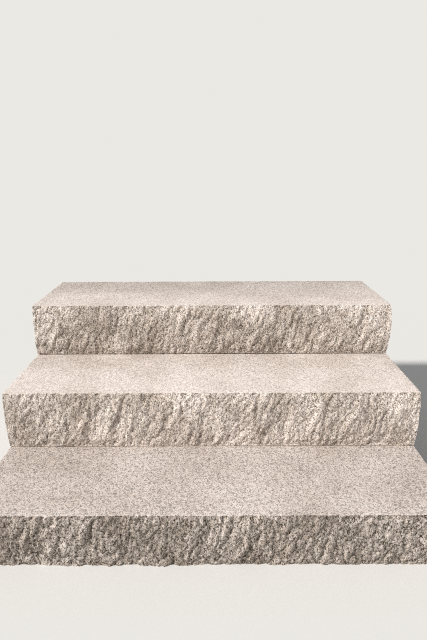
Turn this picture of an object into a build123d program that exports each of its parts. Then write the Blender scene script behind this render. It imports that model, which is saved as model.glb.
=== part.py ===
"""Outdoor stone steps: three granite blocks on a backing of split granite.

Each step is one block with a flamed top, a pitched rock face on its riser, split ends and a sawn back.
It overlaps the block below, on a thin mortar bed that is raked back from the riser. Behind the lower
blocks, plain split stones in the same courses carry the block above and run down to ground level.
The lowest course is let into the ground, and only what stands above ground level is here.

Units are millimetres. +X runs to the right along the treads, +Y goes up the flight, +Z is up.
The origin is at ground level, in the middle of the flight's plan.
"""

import math
import os
import random

from build123d import *

# The step blocks
flight_width = 1219.0  # along the tread, between the arrises of the two ends
block_depth = 356.0  # front arris to sawn back
block_height = 175.0  # underside to flamed top
tread_run = 305.0  # from one riser's arris to the next
let_in = 30.0  # how deep the lowest course stands in the ground

# The mortar beds
bed_thickness = 3.0
bed_rake = 9.0  # how far the mortar is raked back from the arrises

# The backing
open_joint = 4.0  # dry upright joint between the stones of one course
headers = 4  # stones laid front to back behind the bottom block
stretchers = 3  # stones laid along the flight behind the middle block

# The split faces
riser_swell = 12.0  # most that a pitched riser stands out from its arrises
end_swell = 4.0  # the same for the ends of a course
rear_swell = 10.0  # the same for the back of the backing
least_swell = 0.05  # how full the deepest hollow is, as a share of the swell
facet_play = 0.22  # how much the facets of one ridge differ, as a share of the swell
ridge_lean = 17.0  # degrees that the ridges lean from upright, to the right at the top
ridge_wander = 0.28  # how far a ridge strays, as a share of the spacing
band_wander = 0.06  # how far a band of facets strays up or down, as a share of its height
ridge_pitch = 22.0  # from ridge to hollow along a riser
riser_bands = 7  # bands of facets between the arrises of a riser
end_pitch = 50.0  # the same two for the ends of a step block
end_bands = 5
backing_pitch = 80.0  # and for the backing, which is left as it broke
backing_bands = 4

flight_depth = 2 * tread_run + block_depth
front = -flight_depth / 2
back = flight_depth / 2
left = -flight_width / 2
right = flight_width / 2

os.makedirs("parts", exist_ok=True)


def stations(start, stop, pitch, chance):
    """Unevenly spaced places for the sections, from start to stop."""
    count = round((stop - start) / pitch)
    spacing = (stop - start) / count
    strays = [chance.uniform(-ridge_wander, ridge_wander) for _ in range(1, count)]
    inner = [start + spacing * (i + stray) for i, stray in enumerate(strays, start=1)]
    return [start, *inner, stop]


def split_edge(arris, outward, height, bands, swell, chance):
    """The points up one side of a section, swelling out between the lower arris and the upper one.

    The section stands out by one amount at its foot, another at half its height and a third at its
    head, so that the ridges and hollows between the sections are broken off, as on split stone.
    """
    if swell == 0:
        return [(arris, 0), (arris, height)]
    band = height / bands
    foot, middle, head = (chance.uniform(least_swell, 1.0 - facet_play) for _ in range(3))
    points = []
    for i in range(bands + 1):
        share = i / bands
        fullness = 1 - (2 * share - 1) ** 4
        crest = foot + (middle - foot) * min(1.0, 2 * share) + (head - middle) * max(0.0, 2 * share - 1)
        standing = swell * fullness * (crest + chance.uniform(0.0, facet_play))
        stray = band_wander * band if 0 < i < bands else 0.0
        points.append((arris + outward * standing, i * band + chance.uniform(-stray, stray)))
    return points


def rough_loft(planes, near, far, height, bands, near_swell, far_swell, chance):
    """A bar through sections whose near and far sides wander as split stone does."""
    with BuildPart() as bar:
        for plane in planes:
            near_side = split_edge(near, -1, height, bands, near_swell, chance)
            far_side = split_edge(far, 1, height, bands, far_swell, chance)
            with BuildSketch(plane):
                with BuildLine():
                    Polyline(*near_side, *reversed(far_side), close=True)
                make_face()
        loft(ruled=True)
    return bar.part


def split_stone(x, y, z, seed, long_sides, ends, riser=0.0, rear=0.0, left_end=0.0, right_end=0.0):
    """A stone between its arrises at x, y and z, each a (low, high) pair, with its four swells.

    Leaning sections along X carry the relief of the riser and the rear, and what they pass through
    is cut by sections along Y that carry the relief of the two ends. For the long sides and for the
    ends, a (pitch, bands) pair says how large the facets are.
    """
    chance = random.Random(seed)
    height = z[1] - z[0]
    pitch, bands = long_sides
    end_spacing, end_band_count = ends
    lean = math.radians(ridge_lean)
    first = x[0] - pitch - height * math.tan(lean)
    along_y = [
        Plane(origin=(place, 0, z[0]), x_dir=(0, 1, 0), z_dir=(math.cos(lean), 0, -math.sin(lean)))
        for place in stations(first, x[1] + pitch, pitch, chance)
    ]
    along_x = [
        Plane(origin=(0, place, z[0]), x_dir=(1, 0, 0), z_dir=(0, -1, 0))
        for place in stations(y[0] - end_spacing, y[1] + end_spacing, end_spacing, chance)
    ]
    front_to_rear = rough_loft(along_y, *y, height / math.cos(lean), bands, riser, rear, chance)
    end_to_end = rough_loft(along_x, *x, height, end_band_count, left_end, right_end, chance)
    with BuildPart() as stone:
        add(front_to_rear)
        add(end_to_end, mode=Mode.INTERSECT)
        if z[0] < 0:
            split(bisect_by=Plane.XY, keep=Keep.TOP)
    return stone.part


def write(part, name):
    part.label = name
    export_step(part, f"parts/{name}.step")
    print(f"{name}: {part.volume / 1e9:.4f} cubic metres, valid {part.is_valid}")


# The underside and the top of each course, from the ground up
courses = []
underside = -let_in
for course in range(3):
    courses.append((underside, underside + block_height))
    underside += block_height + bed_thickness

# Step blocks: the riser and the two ends are split, the back is sawn
for course, name in enumerate(("bottom_step", "middle_step", "top_step")):
    riser_arris = front + course * tread_run
    block = split_stone(
        (left, right),
        (riser_arris, riser_arris + block_depth),
        courses[course],
        seed=course + 1,
        long_sides=(ridge_pitch, riser_bands),
        ends=(end_pitch, end_bands),
        riser=riser_swell,
        left_end=end_swell,
        right_end=end_swell,
    )
    write(block, name)

# Mortar beds: each fills the joint under a block, over the block and the backing below
for course, name in ((1, "middle_bed"), (2, "top_bed")):
    bed_front = front + course * tread_run + bed_rake
    bed_back = back - bed_rake
    with BuildPart() as bed:
        with BuildSketch(Plane.XY.offset(courses[course - 1][1])):
            with Locations((0, (bed_front + bed_back) / 2)):
                Rectangle(flight_width - 2 * bed_rake, bed_back - bed_front)
        extrude(amount=bed_thickness)
    write(bed.part, name)

# Backing stones: headers behind the bottom block, stretchers behind the middle one
for course, (name, count) in enumerate((("header", headers), ("stretcher", stretchers))):
    backing_front = front + course * tread_run + block_depth + open_joint
    stone_width = (flight_width - (count - 1) * open_joint) / count
    for place in range(count):
        side = left + place * (stone_width + open_joint)
        stone = split_stone(
            (side, side + stone_width),
            (backing_front, back),
            courses[course],
            seed=10 * (course + 1) + place,
            long_sides=(backing_pitch, backing_bands),
            ends=(backing_pitch, backing_bands),
            rear=rear_swell,
            left_end=end_swell if place == 0 else 0.0,
            right_end=end_swell if place == count - 1 else 0.0,
        )
        write(stone, f"backing_{name}_{place + 1}")
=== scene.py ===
# %% [markdown]
# # Granite steps, dressed
# Three long granite blocks climb half a metre. Their treads were flamed, so they are flat but
# grippy. Their risers were pitched with a hammer, so they swell out between two straight edges,
# and stonemasons call each of those edges an arris. The solids give the size of every stone and
# the large facets of every split face. This file adds what a hand would feel: the grain of the
# break, the chipped arrises, the crystals and the dirt in the hollows.

# %% Load the solids and measure them
import math

import bmesh
import bpy
from bpy_extras.object_utils import world_to_camera_view
from mathutils import Euler, Matrix, Vector, noise
from mathutils.bvhtree import BVHTree


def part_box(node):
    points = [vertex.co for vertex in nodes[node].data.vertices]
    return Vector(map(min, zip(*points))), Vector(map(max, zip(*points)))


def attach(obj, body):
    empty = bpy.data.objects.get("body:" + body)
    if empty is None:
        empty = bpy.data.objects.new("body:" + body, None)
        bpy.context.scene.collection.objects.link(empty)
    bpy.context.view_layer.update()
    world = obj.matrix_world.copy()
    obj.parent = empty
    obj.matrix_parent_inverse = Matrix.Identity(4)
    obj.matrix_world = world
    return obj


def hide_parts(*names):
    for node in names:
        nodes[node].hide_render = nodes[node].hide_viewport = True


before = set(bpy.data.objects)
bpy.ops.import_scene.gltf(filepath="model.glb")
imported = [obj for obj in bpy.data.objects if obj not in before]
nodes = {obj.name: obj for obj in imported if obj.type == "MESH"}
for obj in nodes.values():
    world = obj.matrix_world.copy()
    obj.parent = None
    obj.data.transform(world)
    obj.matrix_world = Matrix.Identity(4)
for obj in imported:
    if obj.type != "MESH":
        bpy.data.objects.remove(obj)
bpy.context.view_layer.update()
MM = 0.001

step_names = ["bottom_step", "middle_step", "top_step"]
bed_names = sorted(name for name in nodes if name.endswith("_bed"))
backing_names = sorted(name for name in nodes if name.startswith("backing"))

# %% [markdown]
# ## The arrises of a stone
# A split face swells out, so the box of a solid is larger than the stone's own straight edges.
# The upper arrises lie on the flat top, and nothing of the swell is left there. Reading only the
# vertices at the top level therefore gives the four arrises exactly, with no number copied.

# %% Read the arrises from the top of a solid
AT_THE_TOP = 0.01 * MM


def arris_box(name):
    """The lowest and highest corner of a stone between its arrises."""
    lowest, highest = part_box(name)
    rim = [v.co for v in nodes[name].data.vertices if highest.z - v.co.z < AT_THE_TOP]
    low = Vector((min(p.x for p in rim), min(p.y for p in rim), lowest.z))
    high = Vector((max(p.x for p in rim), max(p.y for p in rim), highest.z))
    return low, high


arrises = {name: arris_box(name) for name in step_names + backing_names}
for name, (low, high) in arrises.items():
    print(name, "measures", [round(side / MM) for side in high - low], "mm between its arrises")

# %% [markdown]
# ## The camera
# A camera is matched before anything is modelled.
# This one hangs a metre in front of the lowest riser and nearly a metre above ground level, and
# looks down on the treads. The longer side of the picture is upright, and Blender lays the
# sensor's 36 mm along the longer side. The printed corners can be held against the picture's own
# pixels.

# %% Place the camera
PICTURE = (427, 640)
EYE_FROM_RISER = 0.988
EYE_ASIDE = 0.008
EYE_HEIGHT = 0.958
LOOK_DOWN = 17.69
LOOK_LEFT = 0.08
TILT = -0.23
LENS = 27.55
NEAREST_SEEN = 0.05

front_arris = arrises["bottom_step"][0].y
camera_data = bpy.data.cameras.new("camera")
camera_data.lens = LENS
camera_data.clip_start = NEAREST_SEEN
camera = bpy.data.objects.new("camera", camera_data)
bpy.context.scene.collection.objects.link(camera)
gaze = Euler((math.radians(90 - LOOK_DOWN), 0, math.radians(LOOK_LEFT))).to_matrix().to_4x4()
eye = Matrix.Translation((EYE_ASIDE, front_arris - EYE_FROM_RISER, EYE_HEIGHT))
camera.matrix_world = eye @ gaze @ Matrix.Rotation(math.radians(TILT), 4, "Z")
bpy.context.scene.camera = camera


def pixel(point):
    """Where a point falls in the picture, in pixels from its upper left corner."""
    render = bpy.context.scene.render
    size = (render.resolution_x, render.resolution_y)
    render.resolution_x, render.resolution_y = PICTURE
    bpy.context.view_layer.update()
    seen = world_to_camera_view(bpy.context.scene, camera, Vector(point))
    render.resolution_x, render.resolution_y = size
    return round(seen.x * PICTURE[0], 1), round((1 - seen.y) * PICTURE[1], 1)


for name in step_names:
    low, high = arrises[name]
    print(name, "arris", pixel((low.x, low.y, high.z)), pixel((high.x, low.y, high.z)))
    print(name, "foot", pixel((low.x, low.y, low.z)), pixel((high.x, low.y, low.z)))

# %% [markdown]
# ## What a split face looks like up close
# Granite breaks between and through its crystals. Seen from a step away the break has three
# sizes of form: the hammer's flake scars, a few fingers wide; ridges and dents as wide as one
# finger; and a grain that a few crystals make together. The solids hold the first. The other two
# are noise here, stretched along the way that they lean, and the grain leans further than the
# ridges do.
#
# The noise of the ridges loses its sign, which turns each place where it crossed zero into a
# crease: lobes of stone with sharp gaps between them. Flat little facets come from cells, each of
# which tips its own way, as crystals do. A Displace modifier could read such a texture too, but
# numbers that Python reads can also be faded out at an arris and tell where grime, with the
# painted shade of the hollows, would lie.
#
# Blender starts its vector noise from the clock, so a script that uses it gives it a fixed start.
# Otherwise the facets would tip another way at every run.

# %% The relief of a split face, in metres
NOISE_START = 1
noise.seed_set(NOISE_START)

RIDGE_LEAN = math.radians(12)
GRAIN_LEAN = math.radians(34)
RIDGES = (
    # wavelength across, stretch along, height
    (24 * MM, 2.1, 7.2 * MM),
    (12 * MM, 1.8, 3.2 * MM),
)
GRAIN = (
    # the same three
    (9 * MM, 2.4, 0.95 * MM),
    (5.5 * MM, 1.8, 0.75 * MM),
)
FACETS = (
    # width, stretch along, and how steeply the facets tip
    (10 * MM, 1.3, 0.2),
    (5.5 * MM, 1.3, 0.18),
)
CELLS_APART = 7.3  # sets neighbouring cells far apart in the noise that tips them
USUAL_WAVE = 0.2  # about the mean of a noise without its sign, taken off to keep the face in place
RIDGE_SHARE = 0.6  # how much the ridges count, beside the grain, in where grime and painted shade lie
FREE_OF_GRIME_AND_SHADE = 1.3 * MM  # relief from which a place is free of grime and painted shade
FULL_OF_GRIME_AND_SHADE = -1.6 * MM  # relief down to which it fills with grime and painted shade


def smooth(low, high, value):
    """An S-curve that is 0 up to low and 1 from high on, or the other way round where high is less."""
    share = min(1.0, max(0.0, (value - low) / (high - low)))
    return share * share * (3 - 2 * share)


def leaned(across, up, lean):
    """A place on an upright face, measured across the forms that lean this far and along them."""
    return across * math.cos(lean) - up * math.sin(lean), across * math.sin(lean) + up * math.cos(lean)


def split_relief(across, up, seed, coarseness):
    """How far a split face stands out at a place along it and up it, and how much grime and painted shade
    it holds.
    """
    s, t = leaned(across, up, RIDGE_LEAN)
    ridges = 0.0
    for wavelength, stretch, height in RIDGES:
        wave = noise.noise(Vector((s / wavelength, t / wavelength / stretch, seed)))
        ridges += height * (abs(wave) - USUAL_WAVE)
    s, t = leaned(across, up, GRAIN_LEAN)
    grain = 0.0
    for wavelength, stretch, height in GRAIN:
        grain += height * noise.noise(Vector((s / wavelength, t / wavelength / stretch, seed)))
    for width, stretch, steepness in FACETS:
        spot = Vector((s / width, t / width / stretch, seed))
        centre = noise.voronoi(spot)[1][0]
        grain += steepness * width * noise.noise_vector(centre * CELLS_APART).dot(spot - centre)
    # the second value is the grime of the hollows, partly painted shade
    return (ridges + grain) * coarseness, smooth(FREE_OF_GRIME_AND_SHADE, FULL_OF_GRIME_AND_SHADE, grain + RIDGE_SHARE * ridges)


print("split faces:", len(RIDGES), "sizes of ridge,", len(GRAIN), "of grain and", len(FACETS), "of facet")

# %% [markdown]
# ## A fine grid on a plain block
# Each stone starts as a cube that is stretched to its arrises. Cutting its edges into many short
# ones gives every face that shows a fine grid. The faces that rest on another stone stay single,
# because nobody sees them and a fine grid there would be wasted. A Subdivision Surface modifier
# would cut all faces alike. Two curves then draw the grid closer to the arrises, where the detail
# is.

# %% Cut a cube into a fine grid
SIDE_AXIS = {
    # the axis that a side looks along, and whether it is at the low end of the stone or the high one
    "left": (0, 0),
    "right": (0, 1),
    "front": (1, 0),
    "rear": (1, 1),
    "under": (2, 0),
    "top": (2, 1),
}
SAME = 1e-6


def on_side(point, side, low, high):
    """Whether a point lies on one side of the box between low and high."""
    axis, end = SIDE_AXIS[side]
    return abs(point[axis] - (low, high)[end][axis]) < SAME


def fine_block(low, high, spacing, single):
    """A box with a grid on its sides, apart from those that stay single faces."""
    form = bmesh.new()
    fit = Matrix.Translation((low + high) / 2) @ Matrix.Diagonal((*(high - low), 1))
    bmesh.ops.create_cube(form, size=1.0, matrix=fit)
    covered = [
        face for face in form.faces
        if any(all(on_side(v.co, side, low, high) for v in face.verts) for side in single)
    ]
    bmesh.ops.delete(form, geom=covered, context="FACES_ONLY")
    for axis in range(3):
        along = [e for e in form.edges if abs(e.verts[0].co[axis] - e.verts[1].co[axis]) > SAME]
        cuts = round((high - low)[axis] / spacing[axis]) - 1
        bmesh.ops.subdivide_edges(form, edges=along, cuts=cuts, use_grid_fill=True)
    for side in single:
        rim = [e for e in form.edges if all(on_side(v.co, side, low, high) for v in e.verts)]
        bmesh.ops.edgeloop_fill(form, edges=rim)
    bmesh.ops.recalc_face_normals(form, faces=form.faces)
    return form


# %% Draw the grid closer to the arrises
DRAW = 0.38  # how much narrower the cells at both ends are than even ones, as a share
PACE = 0.45  # how wide the grid's first cell is, as a share of an even one


def closer_at_both(share):
    """A share from 0 to 1, drawn towards both ends."""
    return share - DRAW * math.sin(math.tau * share) / math.tau


def closer_at_start(share):
    """A share from 0 to 1, drawn towards 0."""
    return PACE * share + (1 - PACE) * share * share


print("half of the cells lie in the first", round(closer_at_start(0.5), 2), "of a step's depth")

# %% [markdown]
# ## How far a face stands out
# Every point of the grid looks along its own axis for the solid's swollen face, moves out to it,
# and adds the relief of the break. A Shrinkwrap modifier does the first half, but here the rays
# also stray a little, so that the solid's straight ridges meander as broken ones do. The relief
# fades out at the arrises and never passes the solid's own box.
#
# A point on an upright edge belongs to two faces and moves for both, so the corner stays closed
# and turns as rough as its neighbours.

# %% Measure a stone's faces
MEANDERS = (
    # width of a bend in the solid's ridges, and how far it reaches
    (50 * MM, 9 * MM),
    (18 * MM, 4 * MM),
)
MERGE = 0.001 * MM
RAY_START = 20 * MM  # outside the solid's box
RAY_MARGIN = 0.5 * MM  # rays keep this far from the edges of a face
FADE = 6 * MM  # the relief grows over this distance from an arris
LEFT_AT_ARRIS = 0.12  # how much of it is left there
RECESS = 0.6 * MM  # makes up for relief that can't stand out further than the solid's box
COARSENESS = {"bottom_step": 1.3, "middle_step": 1.0, "top_step": 0.9}
USUAL_COARSENESS = 1.0
END_COARSENESS = 0.45
SEED_FOR_AXIS = 11  # these two give each side noise of its own
SEED_FOR_END = 5


class Stone:
    """A stone between its arrises, with the swollen faces that its solid has."""

    def __init__(self, name, split, seed):
        self.name = name
        self.low, self.high = arrises[name]
        self.lowest, self.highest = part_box(name)
        self.split = split
        self.seed = seed
        self.coarseness = COARSENESS.get(name, USUAL_COARSENESS)
        merged = bmesh.new()
        merged.from_mesh(nodes[name].data)
        bmesh.ops.remove_doubles(merged, verts=merged.verts, dist=MERGE)
        self.tree = BVHTree.FromBMesh(merged)
        merged.free()
        self.known = {}

    def swell(self, side, place, level):
        """How far the solid stands out from the arris near a place along a side and a level."""
        axis, end = SIDE_AXIS[side]
        along = 1 - axis
        outward = (-1, 1)[end]
        spot = Vector((place, level, self.seed))
        stray = sum((noise.noise_vector(spot / width) * reach for width, reach in MEANDERS), Vector())
        ray = Vector((0, 0, 0))
        ray[axis] = (self.lowest, self.highest)[end][axis] + outward * RAY_START
        ray[along] = min(self.high[along] - RAY_MARGIN, max(self.low[along] + RAY_MARGIN, place + stray.x))
        ray.z = min(self.high.z - RAY_MARGIN, max(self.low.z + RAY_MARGIN, level + stray.y))
        inward = Vector((0, 0, 0))
        inward[axis] = -outward
        hit = self.tree.ray_cast(ray, inward)[0]
        return outward * (hit[axis] - (self.low, self.high)[end][axis])

    def measured(self, side, place, level):
        """How far along its axis a side moves from its arris, and the grime and painted shade that it
        holds.
        """
        if side not in self.split:
            return 0.0, 0.0
        axis, end = SIDE_AXIS[side]
        outward = (-1, 1)[end]
        limit = outward * ((self.lowest, self.highest)[end][axis] - (self.low, self.high)[end][axis])
        from_arris = self.high.z - level
        if self.low.z > SAME:  # the lowest course is cut off at ground level, with no arris there
            from_arris = min(from_arris, level - self.low.z)
        coarseness = self.coarseness * (END_COARSENESS if axis == 0 else 1.0)
        seed = self.seed + SEED_FOR_AXIS * axis + SEED_FOR_END * end
        relief, grime_and_shade_held = split_relief(place, level, seed, coarseness)
        kept = LEFT_AT_ARRIS + (1 - LEFT_AT_ARRIS) * smooth(0.0, FADE, from_arris)
        out = min(limit, self.swell(side, place, level) + (relief - RECESS) * kept)
        return outward * out, grime_and_shade_held

    def standing(self, side, place, level):
        """The same, kept for the points that ask for it again."""
        key = (side, place, level)
        if key not in self.known:
            self.known[key] = self.measured(*key)
        return self.known[key]

    def between(self, near, far, place, level, share):
        """How far two opposite sides move a point that lies this share of the way between them."""
        near_move, _ = self.standing(near, place, level)
        far_move, _ = self.standing(far, place, level)
        return near_move * (1 - share) + far_move * share

    def swollen(self, sides, share, x, y, level):
        """Where a point that lies on these sides goes as they move out, and the grime and painted shade it
        holds.
        """
        ends = sides & {"left", "right"}
        long_sides = sides & {"front", "rear"}
        start = x
        grime_and_shade_held = 0.0
        if long_sides:
            x += self.between("left", "right", y, level, share[0])
        if ends:
            y += self.between("front", "rear", start, level, share[1])
        if not long_sides:
            for side in ends:
                move, grime_and_shade_held = self.standing(side, y, level)
                x += move
        if not ends:
            for side in long_sides:
                move, grime_and_shade_held = self.standing(side, x, level)
                y += move
        return x, y, grime_and_shade_held


# %% [markdown]
# ## Chips, pits, grime and painted light
# Small chips run along every upper arris. A coarse and a fine noise are added, and only where
# they pass a threshold does the edge lose more than a hair, so most of it stays sharp and some of
# it is nibbled. A Bevel modifier would round it all alike. The flamed top drops a fraction of a
# millimetre in shallow pits.
#
# Every point also remembers how much grime it holds, for the materials. On a split face grime
# lies deep in the grain and between the ridges, partly as painted shade. From the head of the riser
# to its foot it changes evenly: with dust on the lowest riser, and with painted light and shade on
# the two upper ones, whose heads are painted lighter, the top one's foot darker and the middle
# one's foot lighter. On a tread it grows from the front edge, which feet and rain keep clean, to
# the back. The lowest tread is the dustiest and the middle one the cleanest.

# %% Chip the arrises and pit the top
INWARD = {"front": (0, 1), "rear": (0, -1), "left": (1, 0), "right": (-1, 0)}
CHIP_REACH = 5 * MM
CHIP_DEPTH = 2.6 * MM
CHIP_LEAST = 0.5 * MM
CHIP_LENGTH = 9 * MM
CHIP_SLANT = 0.7  # a chip goes in by this share of its depth, and down by as much
CHIP_FROM = 0.05  # the noise where chips begin, and where they are deepest
CHIP_FULL = 0.75
FINER_CHIPS = 2.7  # how much shorter the small chips are
FINER_SHARE = 0.5
ARRISES_APART = 9.7  # gives each arris noise of its own
PIT = 0.6 * MM
PIT_WIDTH = 7 * MM
PIT_ROUGHNESS = (0.9, 2.0, 2)  # how soft the fractal is, how much finer each layer, and how many


def chip_depth(stone, number, along):
    """How deep an upper arris, given by its number, is chipped at a place along it."""
    spot = Vector((along / CHIP_LENGTH, number * ARRISES_APART, stone.seed))
    bite = noise.noise(spot) + FINER_SHARE * noise.noise(spot * FINER_CHIPS)
    return CHIP_DEPTH * smooth(CHIP_FROM, CHIP_FULL, bite) + CHIP_LEAST


def chipped(stone, x, y, level):
    """A point, pulled in and down where it is near a chipped arris."""
    below = stone.high.z - level
    start = (x, y)
    for number, (side, step) in enumerate(INWARD.items()):
        axis, end = SIDE_AXIS[side]
        gap = (1, -1)[end] * (start[axis] - (stone.low, stone.high)[end][axis])
        away = math.hypot(max(0.0, gap), below)
        if away < CHIP_REACH:
            pull = chip_depth(stone, number, (x, y)[1 - axis]) * (1 - away / CHIP_REACH) ** 2
            x += step[0] * pull * CHIP_SLANT
            y += step[1] * pull * CHIP_SLANT
            level -= pull * CHIP_SLANT
    return x, y, level


def pit_depth(stone, x, y):
    """How far the heat has dropped the top at a place."""
    rough = noise.fractal(Vector((x, y, stone.seed)) / PIT_WIDTH, *PIT_ROUGHNESS)
    return PIT * smooth(-1.0, 1.0, rough)


# %% Lay dust on the treads and risers, with painted light and shade on the upper risers
DUST_AND_PAINTED_LIGHT = {
    # at the front edge of the tread and at its back, at the head of the riser and at its foot; on the two
    # upper risers the last two are painted light and shade, lighter below zero
    "bottom_step": (0.6, 0.88, 0.05, 0.1),
    # the middle riser's head and foot are painted lighter
    "middle_step": (0.0, 0.53, -0.15, -0.65),
    # the top riser's head is painted lighter and its foot painted darker
    "top_step": (0.2, 0.95, -0.2, 0.45),
}
USUAL_DUST = (0.5, 0.5, 0.2, 0.2)


def grime_and_light_at(stone, grime_and_shade_held, y, height_share):
    """The grime of a point: what the break holds, with dust and painted light and shade from head to foot,
    on a split face, or else dust alone.
    """
    front_dust, rear_dust, head_dust_and_light, foot_dust_and_light = DUST_AND_PAINTED_LIGHT.get(stone.name, USUAL_DUST)
    if grime_and_shade_held:
        # on the two upper risers this paints light and shade from head to foot
        dust_and_light = foot_dust_and_light + (head_dust_and_light - foot_dust_and_light) * height_share
        return min(1.0, max(0.0, dust_and_light + grime_and_shade_held))
    depth = stone.high.y - stone.low.y
    return front_dust + (rear_dust - front_dust) * smooth(0.0, depth, y - stone.low.y)


# %% [markdown]
# ## Dressing a stone
# One function takes a stone from its name to the finished piece. It tells the three finishes of
# the block apart before any point moves, while each face still lies on one plain side: flamed on
# top, split where the hammer worked, sawn where the saw did. All points then move by themselves,
# so neither a modifier nor a second pass is needed.

# %% Dress one stone
FLAMED = 0  # the places of the three finishes among a stone's materials
SPLIT = 1
SAWN = 2
CREASE = 0.5  # radians between two faces, past which they don't shade as one


def finish_of(side, split):
    """Which finish a side has."""
    if side in split:
        return SPLIT
    return FLAMED if side == "top" else SAWN


def dressed_point(stone, here):
    """Where a point of the plain block goes, and how much grime, with painted light and shade, it holds
    there.
    """
    low, high = stone.low, stone.high
    span = high - low
    sides = {s for s in SIDE_AXIS if on_side(here, s, low, high)}
    share = [(here[i] - low[i]) / span[i] for i in range(3)]
    level = low.z + span.z * closer_at_both(share[2])
    y = low.y + span.y * (closer_at_start(share[1]) if "front" in stone.split else share[1])
    x, y, grime_and_shade_held = stone.swollen(sides, share, here.x, y, level)
    if "top" in sides:
        level -= pit_depth(stone, x, y)
    x, y, level = chipped(stone, x, y, level)
    return Vector((x, y, max(low.z, level))), grime_and_light_at(stone, grime_and_shade_held, y, share[2])


def placed(form, name, suffix):
    """A finished form as the piece that takes the place of a solid."""
    mesh = bpy.data.meshes.new(name + suffix)
    form.to_mesh(mesh)
    form.free()
    piece = bpy.data.objects.new(name + suffix, mesh)
    bpy.context.scene.collection.objects.link(piece)
    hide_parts(name)
    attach(piece, "root")
    triangles = sum(len(p.vertices) - 2 for p in mesh.polygons)
    print(piece.name, "has", triangles, "triangles")
    return piece


def dress(name, split, single, spacing, seed):
    """A stone with its grid moved out to the rough faces, and its three finishes told apart."""
    stone = Stone(name, split, seed)
    low, high = stone.low, stone.high
    form = fine_block(low, high, spacing, single)
    # the grime each point holds, with painted light and shade on the upper risers
    grime = form.verts.layers.float.new("grime")
    for face in form.faces:
        sides = [s for s in SIDE_AXIS if all(on_side(v.co, s, low, high) for v in face.verts)]
        face.material_index = finish_of(sides[0], split)
        face.smooth = True
    for edge in form.edges:
        if len(edge.link_faces) == 2 and edge.calc_face_angle() > CREASE:
            edge.smooth = False
    for vert in form.verts:
        vert.co, vert[grime] = dressed_point(stone, vert.co.copy())
    return placed(form, name, "_dressed")


# %% Dress the three steps
GRID = (2.05 * MM, 7.0 * MM, 2.05 * MM)
STEP_SEED = 3.1
STEP_SEED_GAP = 17.7
steps = []
for number, name in enumerate(step_names):
    seed = STEP_SEED + STEP_SEED_GAP * number
    steps.append(dress(name, {"front", "left", "right"}, ["under", "rear"], GRID, seed))

# %% [markdown]
# ## The backing
# Plain split stones fill the two lower courses behind the blocks and carry the block above. Only
# their rear shows, and on the outermost ones an end too, so only those faces are split and have a
# grid. It may be coarser, because nobody comes near to it.

# %% Dress the backing
COARSE_GRID = (6 * MM, 6 * MM, 5 * MM)
OUTERMOST_WITHIN = 10 * MM
BACKING_SEED = 60.3
BACKING_SEED_GAP = 7.9
backing = []
flight_low, flight_high = arrises["bottom_step"]
for number, name in enumerate(backing_names):
    low, high = arrises[name]
    split = {"rear"}
    if low.x - flight_low.x < OUTERMOST_WITHIN:
        split.add("left")
    if flight_high.x - high.x < OUTERMOST_WITHIN:
        split.add("right")
    seed = BACKING_SEED + BACKING_SEED_GAP * number
    backing.append(dress(name, split, ["under", "top", "front"], COARSE_GRID, seed))

# %% [markdown]
# ## The mortar beds
# Only a thin line of the bed shows, a few millimetres back from the riser. Its edge was raked with
# a tool, so it waves a little. A thin box with a finely cut edge is enough, moved in by noise. The
# bed under the middle step is the fuller one: its mortar stands nearly at the riser, where light
# reaches it, so its line is the fainter of the two.

# %% Model the beds
FULLER = {"middle_bed": 7.5 * MM, "top_bed": 2.5 * MM}  # how far the front stands out from the solid's
RAKE_WAVE = 1.5 * MM
RAKE_WAVELENGTH = 22 * MM
BED_GRID = (8 * MM, 16 * MM, 1.5 * MM)


def raked_bed(name, number):
    """A mortar bed whose edge waves, and whose front stands as far out as it was filled."""
    low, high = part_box(name)
    form = fine_block(low, high, BED_GRID, ["under", "top"])
    for vert in form.verts:
        ragged = noise.noise(Vector((vert.co.x, vert.co.y, number)) / RAKE_WAVELENGTH)
        for side, step in INWARD.items():
            if on_side(vert.co, side, low, high):
                fuller = FULLER[name] if side == "front" else 0.0
                inward = RAKE_WAVE * smooth(-1, 1, ragged) - fuller
                vert.co.x += step[0] * inward
                vert.co.y += step[1] * inward
                break
    return placed(form, name, "_raked")


beds = [raked_bed(name, number) for number, name in enumerate(bed_names)]

# %% [markdown]
# ## Granite as a material
# Granite is a packing of crystals, each of one mineral: milky and pinkish feldspar, glassy grey
# quartz and black mica. Voronoi cells are such a packing. Each cell has a random colour of its
# own, and a colour ramp with hard steps turns one channel of it into a mineral. Crystals come in
# more than one size, so there are three packings, and another channel settles which of them shows
# at a place. Averaging the three would only blur them: the eye knows granite by its hard specks.
# The flamed, the split and the sawn face are the same stone, so one function makes all three with
# different settings.
#
# The nodes are wired through a small class, because a tree of some fifty nodes is easier to read
# as sums than as links.


# %% Helpers for wiring nodes
def shade(colour):
    """An sRGB colour, from 0 to 255, as the linear values that a socket takes."""
    linear = []
    for value in colour:
        c = value / 255
        linear.append(c / 12.92 if c <= 0.04045 else ((c + 0.055) / 1.055) ** 2.4)
    return (*linear, 1.0)


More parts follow.
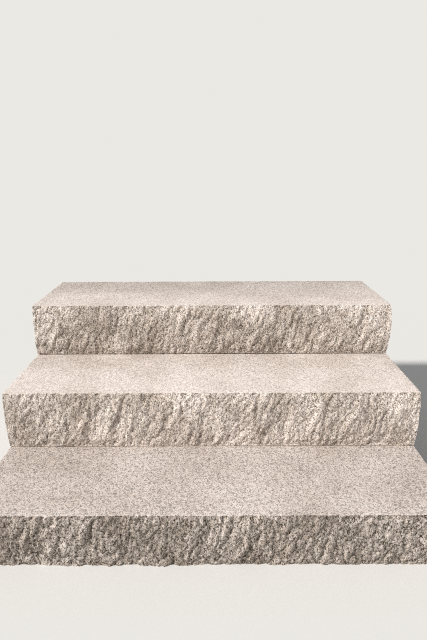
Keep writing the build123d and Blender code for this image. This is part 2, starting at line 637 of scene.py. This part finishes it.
class Wiring:
    """The node tree of a new material, with short calls that add and join nodes."""

    def __init__(self, name):
        self.material = bpy.data.materials.new(name)
        self.material.use_nodes = True
        self.tree = self.material.node_tree
        self.shader = self.tree.nodes["Principled BSDF"]
        self.place = self.add("ShaderNodeTexCoord").outputs["Object"]

    def add(self, kind, settings=None, **inputs):
        """Adds a node, sets its own settings and then its input sockets, by value or by link."""
        node = self.tree.nodes.new(kind)
        for key, value in (settings or {}).items():
            setattr(node, key, value)
        for key, value in inputs.items():
            self.feed(node.inputs[key.replace("_", " ")], value)
        return node

    def feed(self, socket, value):
        """Links a socket to another node's output, or sets its value."""
        if isinstance(value, bpy.types.NodeSocket):
            self.tree.links.new(value, socket)
        else:
            socket.default_value = value

    def calculate(self, operation, *values, kind="ShaderNodeMath"):
        """The output of a Math node, or of another kind whose inputs are taken in turn."""
        node = self.add(kind, {"operation": operation})
        for socket, value in zip(node.inputs, values):
            self.feed(socket, value)
        return node.outputs[0]

    def vector(self, operation, *values):
        """A Vector Math node's output."""
        return self.calculate(operation, *values, kind="ShaderNodeVectorMath")

    def mix(self, share, first, second, blend="MIX"):
        """A colour between two, or one blended over the other."""
        node = self.add("ShaderNodeMix", {"data_type": "RGBA", "blend_type": blend})
        colours = [s for s in node.inputs if s.type == "RGBA"]
        self.feed(node.inputs[0], share)
        self.feed(colours[0], first)
        self.feed(colours[1], second)
        return next(s for s in node.outputs if s.type == "RGBA")

    def tint(self, share, stone, colour):
        """A stone that a colour darkens by this share."""
        return self.mix(share, stone, self.mix(1.0, stone, shade(colour), "MULTIPLY"))

    def ramp(self, share, stops, stepped=False):
        """A colour ramp's output. Each stop is a position and an sRGB colour."""
        node = self.add("ShaderNodeValToRGB", Fac=share)
        node.color_ramp.interpolation = "CONSTANT" if stepped else "LINEAR"
        while len(node.color_ramp.elements) < len(stops):
            node.color_ramp.elements.new(1.0)
        for element, (position, colour) in zip(node.color_ramp.elements, stops):
            element.position = position
            element.color = shade(colour)
        return node.outputs["Color"]

    def cloud(self, size, detail=2.0, roughness=0.5, place=None):
        """Soft noise with blobs of about this size in metres."""
        place = self.place if place is None else place
        blobs = self.add(
            "ShaderNodeTexNoise", Vector=place, Scale=1 / size, Detail=detail, Roughness=roughness
        )
        return blobs.outputs["Fac"]

    def fade(self, value, start, stop, most):
        """An S-curve that is 0 where the value is at start and most where it is at stop."""
        curve = self.add(
            "ShaderNodeMapRange", {"interpolation_type": "SMOOTHSTEP"},
            Value=value, From_Min=start, From_Max=stop, To_Min=0.0, To_Max=most,
        )
        return curve.outputs[0]


# %% Crystals, and the strokes that the break leaves
WARP_SIZE = 4 * MM
WARP_REACH = 1.5 * MM
STROKE_LEAN = math.radians(34)
STROKE_ROUGHNESS = 0.55


def centred(w, vector, reach):
    """A vector whose parts run from 0 to 1, as one whose parts reach this far on both sides of 0."""
    return w.vector("MULTIPLY_ADD", vector, (2 * reach,) * 3, (-reach,) * 3)


def warped_place(w):
    """The coordinates of the crystals, bent so that their outlines aren't straight."""
    bend = w.add("ShaderNodeTexNoise", Vector=w.place, Scale=1 / WARP_SIZE)
    return w.vector("ADD", w.place, centred(w, bend.outputs["Color"], WARP_REACH))


def crystals(w, place, size):
    """A packing of cells of about this size: two random shares for each, the depth in it, and a tip."""
    cells = w.add("ShaderNodeTexVoronoi", Vector=place, Scale=1 / size)
    share = w.add("ShaderNodeSeparateColor", Color=cells.outputs["Color"])
    return share.outputs["Red"], share.outputs["Green"], cells.outputs["Distance"], cells.outputs["Color"]


def strokes(w, size, stretch):
    """Soft noise whose blobs are longer along the grain of the break than across it."""
    turned = w.add(
        "ShaderNodeMapping", Vector=w.place, Rotation=(0, -STROKE_LEAN, 0), Scale=(1, 1, 1 / stretch)
    )
    return w.cloud(size, roughness=STROKE_ROUGHNESS, place=turned.outputs[0])


def tipped(w, normal, tip, steepness):
    """A normal that each crystal tips its own way."""
    return w.vector("NORMALIZE", w.vector("ADD", normal, centred(w, tip, steepness)))


# %% The minerals and the dirt
MICA = (36, 32, 28)
QUARTZ = (101, 93, 86)
GREY_FELDSPAR = (174, 166, 159)
MILKY_FELDSPAR = (250, 240, 231)
PINK_FELDSPAR = (228, 211, 199)
MINERALS = [
    (0.0, MICA),
    (0.08, QUARTZ),
    (0.27, GREY_FELDSPAR),
    (0.42, MILKY_FELDSPAR),
    (0.83, PINK_FELDSPAR),
]
WHITENED = (246, 234, 228)
DUST = (146, 143, 142)
# earth-brown dirt, which on the split faces also paints shade where grime is held
EARTH_AND_SHADE = (148, 140, 123)
# the colour that darkens the lowest course all over, more in its gaps and grime
LOWEST_COURSE_DARK = (114, 104, 93)
# painted shade in the gaps between strokes, which also stands for dirt in them
GAP_SHADE = (158, 151, 135)
RUST = (192, 168, 130)
WHITE = (255, 255, 255)
for (start, mineral), (stop, _) in zip(MINERALS, MINERALS[1:] + [(1.0, None)]):
    print("crystals of", mineral, "make up", round(100 * (stop - start)), "% of the stone")

# %% [markdown]
# ## One stone, three finishes
# Heat and the hammer's blows whiten crystals, and grime, with painted shade, hides that again.
# Over them lie broad darker patches, rust in smaller ones, a darker lowest course, dirt and painted
# shade where the mesh says that grime is held, and painted shade, partly dirt, in the gaps where
# the strokes are deepest. Each is blended by multiplying, as a thin film of dirt does on real
# stone: the crystals still show through it.
# A photograph laid over the stone could hold all this, but it would fix the size and smear on the
# swollen faces.

# %% Granite in any finish
LARGE_CRYSTAL = 4.3 * MM
MIDDLE_CRYSTAL = 2.5 * MM
SMALL_CRYSTAL = 1.9 * MM
LARGE_SHARE = 0.15  # how much of the stone is large crystals
MIDDLE_SHARE = 0.75  # how much of the rest is middle ones
GRIME_AND_SHADE_HIDES = 0.25  # how much less white a place is that is full of grime and painted shade
RARE_LOW = 0.35  # soft noise seldom goes under the first of these or over the second
RARE_HIGH = 0.65
PATCH_SIZE = 0.16
PATCH_DETAIL = 3.0
RUST_SIZE = 0.09
RUST_DETAIL = 4.0
RUST_ROUGHNESS = 0.6
RUST_CONTRAST = 3.0
RUST_OFFSET = -1.4
GAP_SHADE_FROM = 0.47  # the strokes' noise where the painted shade of a gap begins, and where it is darkest
GAP_SHADE_FULL = 0.33
LOWEST_DARKENING_TOP = arrises["bottom_step"][1].z + 3.5 * MM
LOWEST_DARKENING_FULL = arrises["bottom_step"][1].z - 2.5 * MM
LOWEST_DARKENING_ALL = 0.42  # how much darker the lowest course gets anywhere, in a gap, and with grime
LOWEST_DARKENING_IN_GAPS = 0.68
LOWEST_DARKENING_WITH_GRIME = 0.45
GLINT_ABOVE = 0.9  # one small crystal in ten is smooth enough to glint
ROUGH = 0.92
GLINT_SMOOTHS = 0.4
SHEEN = 0.35
DOMED = 0.2  # how far crystals stand out in the middle, beside the height of the strokes


def packed_crystals(w):
    """The minerals in three sizes of crystal, with the depth in the middle ones, their tips and a glint."""
    place = warped_place(w)
    large, large_pick, _, _ = crystals(w, place, LARGE_CRYSTAL)
    middle, middle_pick, middle_depth, middle_tip = crystals(w, place, MIDDLE_CRYSTAL)
    small, glint, _, _ = crystals(w, place, SMALL_CRYSTAL)
    small_ones = w.ramp(small, MINERALS, stepped=True)
    middle_ones = w.ramp(middle, MINERALS, stepped=True)
    large_ones = w.ramp(large, MINERALS, stepped=True)
    stone = w.mix(w.calculate("LESS_THAN", middle_pick, MIDDLE_SHARE), small_ones, middle_ones)
    stone = w.mix(w.calculate("LESS_THAN", large_pick, LARGE_SHARE), stone, large_ones)
    return stone, middle_depth, middle_tip, glint


def granite(
    name,
    whiten,  # how far the crystals are whitened
    patch,  # the colour of the broad darker patches
    stain,  # how strong the rust is
    lowest_darkening,  # how much darker the lowest course is made
    dirt_and_shade,  # how strong the dirt and painted shade are where grime is held, and their colour
    dirt_and_shade_colour,
    gap,  # how dark the painted shade in the gaps between strokes is, which also stands for dirt
    grain_width,  # how wide the strokes are, how much longer than wide, and how high
    stretch,
    grain_height,
    tip,  # how steeply crystals tip
):
    """Granite in one finish."""
    w = Wiring(name)
    stone, crystal_depth, crystal_tip, glint = packed_crystals(w)
    # the mesh's grime, with painted light and shade in it
    grime_and_shade_held = w.add("ShaderNodeAttribute", {"attribute_name": "grime"}).outputs["Fac"]
    stone = w.mix(w.calculate("MULTIPLY_ADD", grime_and_shade_held, -GRIME_AND_SHADE_HIDES, whiten), stone, shade(WHITENED))
    patches = w.ramp(w.cloud(PATCH_SIZE, PATCH_DETAIL), [(RARE_LOW, patch), (RARE_HIGH, WHITE)])
    stone = w.mix(1.0, stone, patches, "MULTIPLY")
    rusty = w.cloud(RUST_SIZE, RUST_DETAIL, RUST_ROUGHNESS)
    rusty = w.calculate("MULTIPLY_ADD", rusty, RUST_CONTRAST, RUST_OFFSET)
    rusty = w.add("ShaderNodeClamp", Value=w.calculate("MULTIPLY", rusty, stain)).outputs[0]
    stone = w.tint(rusty, stone, RUST)

    stroked = strokes(w, grain_width, stretch)
    painted_gap_shade = w.fade(stroked, GAP_SHADE_FROM, GAP_SHADE_FULL, gap)
    height = w.add("ShaderNodeSeparateXYZ", Vector=w.place).outputs["Z"]
    # the lowest course is made darker
    lowest_darkened = w.fade(height, LOWEST_DARKENING_TOP, LOWEST_DARKENING_FULL, lowest_darkening)
    lowest_share = w.calculate("MULTIPLY_ADD", grime_and_shade_held, LOWEST_DARKENING_WITH_GRIME, LOWEST_DARKENING_ALL)
    lowest_share = w.calculate("MULTIPLY_ADD", painted_gap_shade, LOWEST_DARKENING_IN_GAPS, lowest_share)
    stone = w.tint(w.calculate("MULTIPLY", lowest_darkened, lowest_share), stone, LOWEST_COURSE_DARK)
    # dirt, with painted shade, where grime is held
    stone = w.tint(w.calculate("MULTIPLY", grime_and_shade_held, dirt_and_shade), stone, dirt_and_shade_colour)
    # painted shade, partly dirt, in the deepest gaps of the strokes
    stone = w.tint(painted_gap_shade, stone, GAP_SHADE)
    w.feed(w.shader.inputs["Base Color"], stone)

    smoothed = w.calculate("GREATER_THAN", glint, GLINT_ABOVE)
    w.feed(w.shader.inputs["Roughness"], w.calculate("MULTIPLY_ADD", smoothed, -GLINT_SMOOTHS, ROUGH))
    w.shader.inputs["Specular IOR Level"].default_value = SHEEN
    grain = w.calculate("MULTIPLY_ADD", crystal_depth, -DOMED, stroked)
    bump = w.add("ShaderNodeBump", Height=grain, Strength=1.0, Distance=grain_height)
    w.feed(w.shader.inputs["Normal"], tipped(w, bump.outputs["Normal"], crystal_tip, tip))
    print(name, "has", len(w.tree.nodes), "nodes")
    return w.material


# %% The three finishes
FAINT_PATCH = (236, 233, 230)
DARK_PATCH = (209, 206, 202)
flamed = granite(
    "flamed_granite", whiten=0.53, patch=FAINT_PATCH, stain=0.04, lowest_darkening=0.0, dirt_and_shade=0.4, dirt_and_shade_colour=DUST,
    gap=0.0, grain_width=3 * MM, stretch=1.0, grain_height=0.35 * MM, tip=0.1,
)
split_face = granite(
    "split_granite", whiten=0.39, patch=DARK_PATCH, stain=0.24, lowest_darkening=0.57, dirt_and_shade=0.33, dirt_and_shade_colour=EARTH_AND_SHADE,
    gap=1.0, grain_width=3.6 * MM, stretch=2.0, grain_height=1.85 * MM, tip=0.1,
)
sawn = granite(
    "sawn_granite", whiten=0.1, patch=FAINT_PATCH, stain=0.2, lowest_darkening=0.2, dirt_and_shade=0.1, dirt_and_shade_colour=EARTH_AND_SHADE,
    gap=0.0, grain_width=3 * MM, stretch=1.0, grain_height=0.2 * MM, tip=0.0,
)
for piece in steps + backing:
    for finish in (flamed, split_face, sawn):
        piece.data.materials.append(finish)

# %% [markdown]
# ## Old mortar
# The beds are sand and cement. The lower one is painted light, so that its thin line shows lit.
# The upper one stands further back, holds soil, and most of what the eye sees of it is shadow.
# Grains of sand are smaller than a pixel here, so soft noise is enough for them, once as colour
# and once as bump.

# %% The mortar's material
SAND_SIZE = 2 * MM
SAND_DETAIL = 4.0
SAND_ROUGHNESS = 0.7
GRIT_SIZE = 1.5 * MM
GRIT_HEIGHT = 0.6 * MM
CHALKY = 0.95
# the lower bed's mortar colours, painted light so that its line shows as lit
MORTAR_PAINTED_LIT_DARK = (206, 192, 170)
MORTAR_PAINTED_LIT_LIGHT = (244, 232, 212)
SOILED_DARK = (96, 82, 64)
SOILED_LIGHT = (160, 143, 118)


def old_mortar(name, dark, light):
    """Grainy mortar between a dark and a light colour."""
    w = Wiring(name)
    sand = w.cloud(SAND_SIZE, SAND_DETAIL, SAND_ROUGHNESS)
    w.feed(w.shader.inputs["Base Color"], w.ramp(sand, [(RARE_LOW, dark), (RARE_HIGH, light)]))
    w.shader.inputs["Roughness"].default_value = CHALKY
    grit = w.add("ShaderNodeBump", Height=w.cloud(GRIT_SIZE), Strength=1.0, Distance=GRIT_HEIGHT)
    w.feed(w.shader.inputs["Normal"], grit.outputs["Normal"])
    print(name, "has", len(w.tree.nodes), "nodes")
    return w.material


mortars = {
    "middle_bed": old_mortar("sandy_mortar", MORTAR_PAINTED_LIT_DARK, MORTAR_PAINTED_LIT_LIGHT),
    "top_bed": old_mortar("soiled_mortar", SOILED_DARK, SOILED_LIGHT),
}
for name, piece in zip(bed_names, beds):
    piece.data.materials.append(mortars[name])

# %% [markdown]
# ## Floor and light
# One distant lamp stands high, further to the left than to the front, and is wide enough to soften
# the edges of shadows. It reaches the treads well and rakes along the risers, and that is what
# makes their relief show. A dim world fills the shadows. The floor runs on past all that the
# camera sees. Lamp and world light it evenly, so its colour can be worked out, and the camera sees
# that same colour in the world: floor and background meet without a line.
#
# Many crystals are only a pixel wide. A denoiser takes such specks for noise and wipes them away,
# so it is off, and a narrow pixel filter keeps them crisp. The world is as bright from all sides,
# so rays gain nothing from a map of it.

# %% Set the lamp
KEY_FROM = Vector((-3.0, -2.05, 3.2))
KEY_AT = Vector((0, -0.1, 0.25))
KEY_STRENGTH = 4.1
KEY_WIDTH = math.radians(6)
KEY_COLOUR = (1.0, 0.975, 0.94)

key_data = bpy.data.lights.new("key", "SUN")
key_data.energy = KEY_STRENGTH
key_data.angle = KEY_WIDTH
key_data.color = KEY_COLOUR
key = bpy.data.objects.new("key", key_data)
key.location = KEY_FROM
aim = KEY_AT - KEY_FROM
key.rotation_euler = aim.to_track_quat("-Z", "Y").to_euler()
bpy.context.scene.collection.objects.link(key)
steepness = -aim.normalized().z
print("the lamp stands", round(math.degrees(math.asin(steepness))), "degrees high")

# %% Work out the colour of the lit floor
WORLD_COLOUR = (0.95, 0.975, 1.0)
WORLD_STRENGTH = 0.36
FLOOR_COLOUR = shade((219, 218, 215))

backdrop = []
for floor_part, key_part, world_part in zip(FLOOR_COLOUR, KEY_COLOUR, WORLD_COLOUR):
    light = KEY_STRENGTH * key_part * steepness / math.pi + WORLD_STRENGTH * world_part
    backdrop.append(floor_part * light)
print("the lit floor shows as", [round(value, 3) for value in backdrop])

# %% Set the world
PIXEL_SPREAD = 1.0

world = bpy.data.worlds.new("studio")
world.use_nodes = True
tree = world.node_tree
fill = tree.nodes["Background"]
fill.inputs["Color"].default_value = (*WORLD_COLOUR, 1.0)
fill.inputs["Strength"].default_value = WORLD_STRENGTH
behind = tree.nodes.new("ShaderNodeBackground")
behind.inputs["Color"].default_value = (*backdrop, 1.0)
rays = tree.nodes.new("ShaderNodeLightPath")
seen = rays.outputs["Is Camera Ray"]
for kind in ("Is Glossy Ray", "Is Transmission Ray"):
    either = tree.nodes.new("ShaderNodeMath")
    either.operation = "MAXIMUM"
    tree.links.new(seen, either.inputs[0])
    tree.links.new(rays.outputs[kind], either.inputs[1])
    seen = either.outputs[0]
choice = tree.nodes.new("ShaderNodeMixShader")
tree.links.new(seen, choice.inputs["Fac"])
tree.links.new(fill.outputs[0], choice.inputs[1])
tree.links.new(behind.outputs[0], choice.inputs[2])
tree.links.new(choice.outputs[0], tree.nodes["World Output"].inputs["Surface"])
world.cycles.sampling_method = "NONE"
bpy.context.scene.world = world
bpy.context.scene.view_settings.view_transform = "Standard"
bpy.context.scene.cycles.filter_width = PIXEL_SPREAD
bpy.context.scene.cycles.use_denoising = False

# %% Lay the floor
FLOOR_REACH = 200.0

form = bmesh.new()
bmesh.ops.create_grid(form, x_segments=1, y_segments=1, size=FLOOR_REACH)
floor_mesh = bpy.data.meshes.new("floor")
form.to_mesh(floor_mesh)
form.free()
floor = bpy.data.objects.new("floor", floor_mesh)
bpy.context.scene.collection.objects.link(floor)
paint = Wiring("pale_floor")
paint.shader.inputs["Base Color"].default_value = FLOOR_COLOUR
paint.shader.inputs["Roughness"].default_value = 1.0
paint.shader.inputs["Specular IOR Level"].default_value = 0.0
floor.data.materials.append(paint.material)
